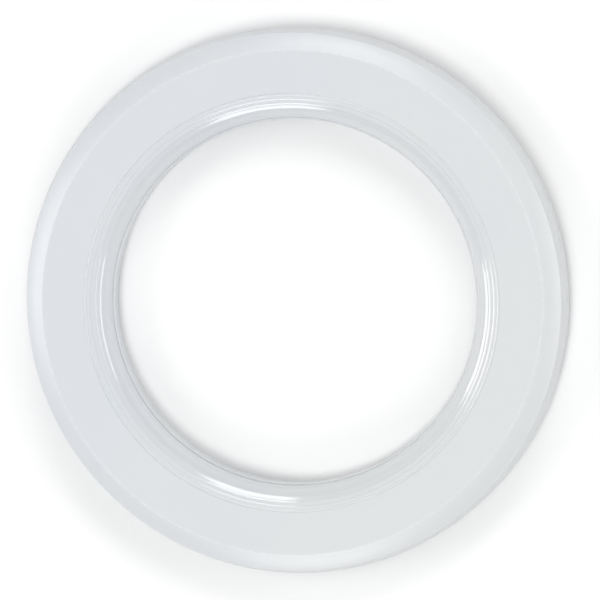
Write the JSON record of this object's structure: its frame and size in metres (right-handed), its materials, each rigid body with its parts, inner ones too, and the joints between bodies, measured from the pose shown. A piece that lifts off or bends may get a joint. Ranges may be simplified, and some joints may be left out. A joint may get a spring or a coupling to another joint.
{
  "type": "hand hoop",
  "caption": "Wide flat-faced hollow hoop for the hand, with a bevelled rim, an outer band and a rounded, beaded collar round the hole.",
  "frame": {"origin": "centre of the rear face, on the axis of the ring, at the plane the hoop lies on", "axes": "+Z along the axis of the ring, out of its front face"},
  "size_m": [0.3, 0.3, 0.027],
  "materials": {
    "shell": "glossy milky white moulded plastic",
    "band": "glossy milky white, a little softer than the shells",
    "collar": "glossy milky white with moulded beads",
    "screw": "zinc-plated steel",
    "plug": "satin white moulded plastic"
  },
  "bodies": {
    "root": {"front_shell": "shell", "rear_shell": "shell", "rim_band": "band", "grip_collar": "collar", "shell_screws": "screw", "screw_plug_1": "plug", "screw_plug_2": "plug", "screw_plug_3": "plug", "screw_plug_4": "plug", "screw_plug_5": "plug", "screw_plug_6": "plug", "screw_plug_7": "plug", "screw_plug_8": "plug"}
  },
  "joints": []
}
